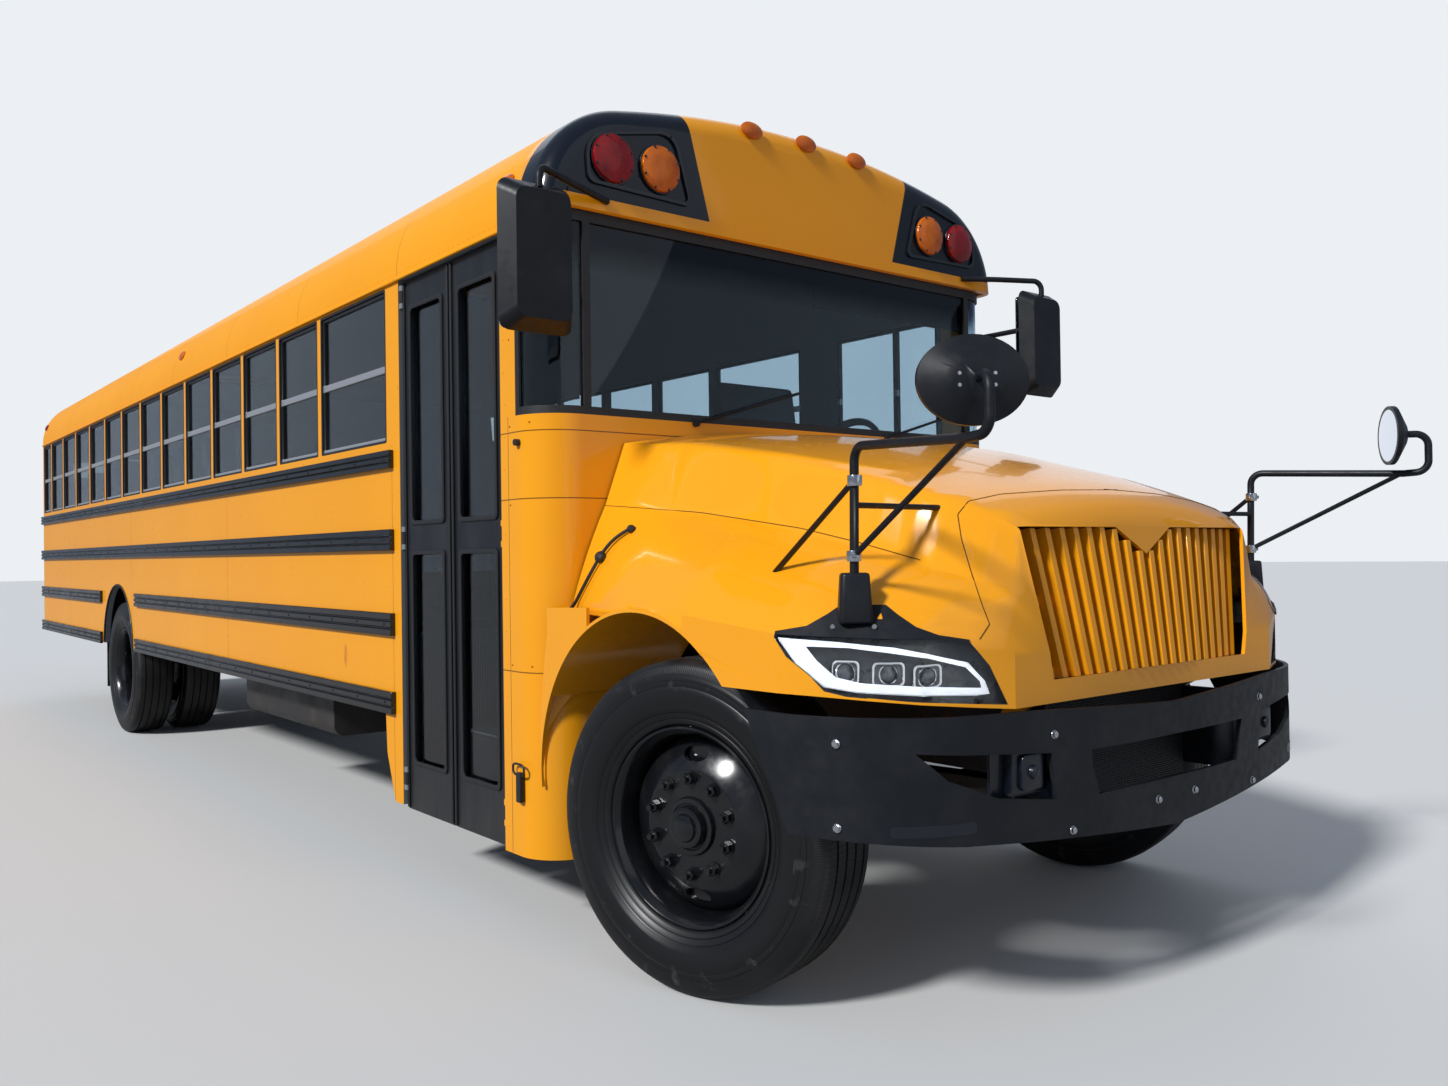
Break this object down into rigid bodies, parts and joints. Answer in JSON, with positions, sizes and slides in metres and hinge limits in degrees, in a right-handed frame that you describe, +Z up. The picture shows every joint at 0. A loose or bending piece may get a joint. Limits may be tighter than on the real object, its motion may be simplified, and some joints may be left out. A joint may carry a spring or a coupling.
{
  "type": "school bus",
  "caption": "Conventional school bus with a tilting hood, folding entrance door, rear emergency door, roof hatches, stop arm, steered front wheels and dual rear wheels.",
  "frame": {"origin": "on the ground below the middle of the bus's box", "axes": "+X forward, +Y to the bus's left, +Z up"},
  "size_m": [11.66, 2.93, 3.0389],
  "materials": {
    "body_yellow": "gloss",
    "black_trim": "satin",
    "rail_black": "gloss",
    "chassis_black": "satin",
    "bumper_grey": "gloss",
    "window_glass": "clear",
    "headlamp_lens": "clear",
    "red_lens": "lens",
    "amber_lens": "lens",
    "sash_metal": "satin",
    "tyre_rubber": "matte",
    "wheel_paint": "satin",
    "cast_steel": "rough",
    "muffler_steel": "dull",
    "seat_vinyl": "satin",
    "dash_plastic": "matte",
    "floor_rubber": "ribbed",
    "flap_rubber": "matte",
    "stop_red": "gloss",
    "roof_paint": "gloss"
  },
  "bodies": {
    "bus_body": {"amber_lamps": "amber_lens", "cowl": "body_yellow", "crossmembers": "chassis_black", "dashboard": "dash_plastic", "drive_shaft": "chassis_black", "driver_seat": "seat_vinyl", "engine_block": "cast_steel", "exhaust_pipe": "muffler_steel", "floor": "floor_rubber", "frame_rails": "chassis_black", "front_axle_beam": "cast_steel", "front_bumper": "bumper_grey", "front_cap": "body_yellow", "fuel_tank": "chassis_black", "leaf_springs": "cast_steel", "mud_flaps": "flap_rubber", "passenger_seats": "seat_vinyl", "radiator": "chassis_black", "rear_axle": "cast_steel", "rear_bumper": "rail_black", "rear_wall": "body_yellow", "red_lamps": "red_lens", "roof": "roof_paint", "rub_rails": "rail_black", "side_glass": "window_glass", "side_mirrors": "black_trim", "side_wall_left": "body_yellow", "side_wall_right": "body_yellow", "step_well": "floor_rubber", "stop_arm_box": "black_trim", "wheel_houses": "floor_rubber", "window_sashes": "sash_metal", "windscreen_glass": "window_glass", "windscreen_surround": "black_trim", "wipers": "black_trim"},
    "hood": {"hood_shell": "body_yellow", "grille": "body_yellow", "headlamps": "headlamp_lens", "mirror_boots": "black_trim", "crossover_mirrors": "black_trim"},
    "door_front": {"door_leaf_front": "black_trim", "door_glass_front": "window_glass"},
    "door_rear": {"door_leaf_rear": "black_trim", "door_glass_rear": "window_glass"},
    "rear_door": {"emergency_door": "body_yellow", "emergency_glass": "window_glass"},
    "hatch_front": {"roof_hatch_front": "roof_paint"},
    "hatch_rear": {"roof_hatch_rear": "roof_paint"},
    "stop_arm": {"stop_arm": "stop_red"},
    "knuckle_right": {"knuckle_right": "cast_steel"},
    "knuckle_left": {"knuckle_left": "cast_steel"},
    "wheel_front_right": {"front_tyre_right": "tyre_rubber", "front_wheel_right": "wheel_paint"},
    "wheel_front_left": {"front_tyre_left": "tyre_rubber", "front_wheel_left": "wheel_paint"},
    "wheels_rear_right": {"rear_tyres_right": "tyre_rubber", "rear_wheels_right": "wheel_paint"},
    "wheels_rear_left": {"rear_tyres_left": "tyre_rubber", "rear_wheels_left": "wheel_paint"}
  },
  "joints": [
    {"name": "hood_tilt", "type": "hinge", "parent": "bus_body", "child": "hood", "pos_m": [5.493, 0, 0.62], "axis": [0, 1, 0], "range_deg": [0, 65]},
    {"name": "door_front_swing", "type": "hinge", "parent": "bus_body", "child": "door_front", "pos_m": [3.675, -1.207, 1.392], "axis": [0, 0, 1], "range_deg": [0, 85]},
    {"name": "door_rear_swing", "type": "hinge", "parent": "bus_body", "child": "door_rear", "pos_m": [2.833, -1.207, 1.392], "axis": [0, 0, 1], "range_deg": [-85, 0]},
    {"name": "rear_door_swing", "type": "hinge", "parent": "bus_body", "child": "rear_door", "pos_m": [-5.755, -0.468, 1.7], "axis": [0, 0, 1], "range_deg": [0, 110]},
    {"name": "hatch_front_lift", "type": "hinge", "parent": "bus_body", "child": "hatch_front", "pos_m": [1.303, 0, 3.012], "axis": [0, 1, 0], "range_deg": [0, 60]},
    {"name": "hatch_rear_lift", "type": "hinge", "parent": "bus_body", "child": "hatch_rear", "pos_m": [-3.297, 0, 3.012], "axis": [0, 1, 0], "range_deg": [0, 60]},
    {"name": "stop_arm_swing", "type": "hinge", "parent": "bus_body", "child": "stop_arm", "pos_m": [2.908, 1.264, 1.56], "axis": [0, 0, -1], "range_deg": [0, 90]},
    {"name": "steer_right", "type": "hinge", "parent": "bus_body", "child": "knuckle_right", "pos_m": [4.568, -0.885, 0.495], "axis": [0, 0, 1], "range_deg": [-54, 26]},
    {"name": "steer_left", "type": "hinge", "parent": "bus_body", "child": "knuckle_left", "pos_m": [4.568, 0.885, 0.495], "axis": [0, 0, 1], "range_deg": [-54, 26]},
    {"name": "roll_front_right", "type": "hinge", "parent": "knuckle_right", "child": "wheel_front_right", "pos_m": [4.60187, -1.02084, 0.5], "axis": [-0.2419, 0.9703, 0], "continuous": true},
    {"name": "roll_front_left", "type": "hinge", "parent": "knuckle_left", "child": "wheel_front_left", "pos_m": [4.53413, 1.02084, 0.5], "axis": [-0.2419, 0.9703, 0], "continuous": true},
    {"name": "roll_rear_right", "type": "hinge", "parent": "bus_body", "child": "wheels_rear_right", "pos_m": [-2.442, -1.065, 0.5], "axis": [0, 1, 0], "continuous": true},
    {"name": "roll_rear_left", "type": "hinge", "parent": "bus_body", "child": "wheels_rear_left", "pos_m": [-2.442, 1.065, 0.5], "axis": [0, 1, 0], "continuous": true}
  ],
  "couplings": [
    {"joint": "door_rear_swing", "follows": "door_front_swing", "ratio": -1},
    {"joint": "steer_left", "follows": "steer_right", "ratio": 1}
  ]
}
